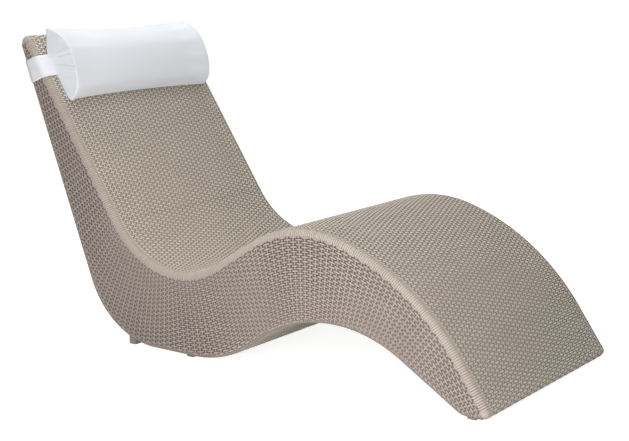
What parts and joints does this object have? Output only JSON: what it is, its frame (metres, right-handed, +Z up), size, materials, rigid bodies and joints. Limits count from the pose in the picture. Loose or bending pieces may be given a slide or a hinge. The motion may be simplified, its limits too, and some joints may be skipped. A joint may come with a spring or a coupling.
{
  "type": "spa relaxation lounger",
  "caption": "Wave-shaped woven lounger with raised backrest, knee arch and sloping foot end; half-round head pillow slides on the backrest, held by a stretch band.",
  "frame": {"origin": "on the floor, at the centre of the footprint's bounding box", "axes": "+X towards the foot end, +Y towards the sitter's left, +Z up"},
  "size_m": [1.6369, 0.7072, 0.9223],
  "materials": {
    "back_weave": "matte woven synthetic strand",
    "cross_tube": "powder coated",
    "edge_wrap": "matte wrapped synthetic strand",
    "glide": "moulded",
    "headrest_cover": "smooth coated cloth",
    "headrest_filling": "soft filling",
    "headrest_zip": "coil zip",
    "rail": "powder coated",
    "seat_bar": "powder coated",
    "seat_weave": "matte woven synthetic strand",
    "side_weave": "matte woven synthetic strand",
    "strap_elastic": "knitted elastic",
    "strap_tab": "smooth coated cloth",
    "strut": "powder coated",
    "tube_cap": "moulded"
  },
  "bodies": {
    "lounger": {"back_weave": "back_weave", "edge_wrap_left": "edge_wrap", "edge_wrap_right": "edge_wrap", "glide_front_left": "glide", "glide_front_right": "glide", "glide_rear_left": "glide", "glide_rear_right": "glide", "glide_toe_left": "glide", "glide_toe_right": "glide", "head_cross_tube": "cross_tube", "head_tube_caps": "tube_cap", "lower_rail_left": "rail", "lower_rail_right": "rail", "seat_bar_1": "seat_bar", "seat_bar_2": "seat_bar", "seat_bar_3": "seat_bar", "seat_cross_tube_1": "cross_tube", "seat_cross_tube_2": "cross_tube", "seat_cross_tube_3": "cross_tube", "seat_cross_tube_4": "cross_tube", "seat_cross_tube_5": "cross_tube", "seat_cross_tube_6": "cross_tube", "seat_weave": "seat_weave", "side_weave_left": "side_weave", "side_weave_right": "side_weave", "strut_left_1": "strut", "strut_left_2": "strut", "strut_left_3": "strut", "strut_left_4": "strut", "strut_left_5": "strut", "strut_left_6": "strut", "strut_left_7": "strut", "strut_right_1": "strut", "strut_right_2": "strut", "strut_right_3": "strut", "strut_right_4": "strut", "strut_right_5": "strut", "strut_right_6": "strut", "strut_right_7": "strut", "toe_cross_tube": "cross_tube", "toe_tube_caps": "tube_cap", "under_cross_tube_1": "cross_tube", "under_cross_tube_2": "cross_tube", "under_cross_tube_3": "cross_tube", "under_cross_tube_4": "cross_tube", "under_cross_tube_5": "cross_tube", "under_cross_tube_6": "cross_tube", "upper_rail_left": "rail", "upper_rail_right": "rail"},
    "headrest": {"headrest_cover": "headrest_cover", "headrest_filling": "headrest_filling", "headrest_zip": "headrest_zip", "strap_tab_left": "strap_tab", "strap_tab_right": "strap_tab"},
    "strap_back": {"strap_elastic": "strap_elastic"}
  },
  "joints": [
    {"name": "headrest_slide", "type": "slide", "parent": "lounger", "child": "headrest", "axis": [0.5563, 0, -0.831], "range_m": [-0.015, 0.12]},
    {"name": "strap_stretch", "type": "slide", "parent": "headrest", "child": "strap_back", "axis": [-0.933, 0, -0.36], "range_m": [-0.0034, 0.0265]}
  ],
  "couplings": [
    {"joint": "strap_stretch", "follows": "headrest_slide", "ratio": 0.21985}
  ]
}
